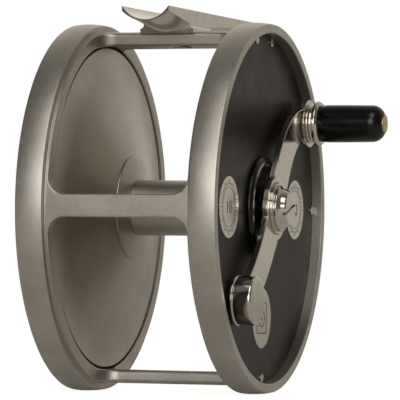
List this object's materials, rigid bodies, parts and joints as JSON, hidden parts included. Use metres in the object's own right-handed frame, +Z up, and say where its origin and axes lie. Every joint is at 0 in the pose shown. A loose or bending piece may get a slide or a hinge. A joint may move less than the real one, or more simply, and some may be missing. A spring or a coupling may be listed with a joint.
{
  "type": "fly reel",
  "caption": "Wide salmon fly reel with an open one-piece frame, saddle foot, freely turning spool, S-shaped counterweighted crank with a turning handle, click and rear drag knob.",
  "frame": {"origin": "on the centre line of the rod's reel seat, over the middle of the spool; the spool's axle is 62 mm below it", "axes": "+X along the spool's axle towards the crank, +Y along the rod towards the foot's long wing, +Z up, away from the spool"},
  "size_m": [0.0888, 0.1086, 0.112],
  "materials": {
    "satin_metal": "bead-blasted satin, warm grey",
    "foot_nickel": "polished, slightly worn nickel",
    "black_plate": "matte black anodised",
    "black_gloss": "gloss black",
    "nickel": "polished nickel",
    "grip_resin": "polished black resin",
    "brass": "turned bronze",
    "steel": "ground steel",
    "friction": "cork composite"
  },
  "bodies": {
    "reel_frame": {"frame": "satin_metal", "foot": "foot_nickel", "foot_screws": "steel", "face_plate": "black_plate", "face_screws": "nickel", "number_disc_near": "nickel", "number_disc_far": "nickel", "badge_disc": "nickel", "bearing_cover": "black_gloss", "front_bearing_outer": "steel", "front_bearing_balls": "steel", "rear_cover": "black_plate", "rear_screws": "nickel", "rear_bearing_outer": "steel", "rear_bearing_balls": "steel", "pawl_pin": "steel", "click_spring": "steel", "knob_retainer": "steel"},
    "spool": {"front_bearing_inner": "steel", "rear_bearing_inner": "steel", "click_wheel": "steel", "drag_disc": "friction", "arbor": "satin_metal", "rear_flange": "satin_metal", "front_flange": "satin_metal", "rear_hub": "satin_metal", "front_hub": "satin_metal", "spindle": "steel", "crank": "nickel", "crank_washer": "nickel", "crank_screw": "nickel", "knob_collar": "nickel", "knob_spindle": "brass", "counterweight": "nickel"},
    "handle": {"grip": "grip_resin", "ferrule": "nickel", "grip_bushes": "brass"},
    "drag_knob": {"drag_knob": "nickel"},
    "drag_plate": {"pressure_plate": "steel", "thrust_pins": "steel"},
    "click_pawl": {"click_pawl": "steel"}
  },
  "joints": [
    {"name": "spool_spin", "type": "hinge", "parent": "reel_frame", "child": "spool", "pos_m": [0, 0, -0.062], "axis": [1, 0, 0], "continuous": true},
    {"name": "handle_spin", "type": "hinge", "parent": "spool", "child": "handle", "pos_m": [0.0475, 0.0325, -0.0361], "axis": [1, 0, 0], "continuous": true},
    {"name": "drag_turn", "type": "hinge", "parent": "reel_frame", "child": "drag_knob", "pos_m": [-0.03, 0, -0.062], "axis": [1, 0, 0], "range_deg": [0, 270]},
    {"name": "drag_press", "type": "slide", "parent": "reel_frame", "child": "drag_plate", "axis": [1, 0, 0], "range_m": [0, 0.000375]},
    {"name": "pawl_lift", "type": "hinge", "parent": "reel_frame", "child": "click_pawl", "pos_m": [-0.0203, 0.0095, -0.0525], "axis": [1, 0, 0], "range_deg": [0, 8], "stiffness_Nm_per_rad": 0.02}
  ],
  "couplings": [
    {"joint": "drag_press", "follows": "drag_turn", "m_per_rad": 0.0000795}
  ]
}
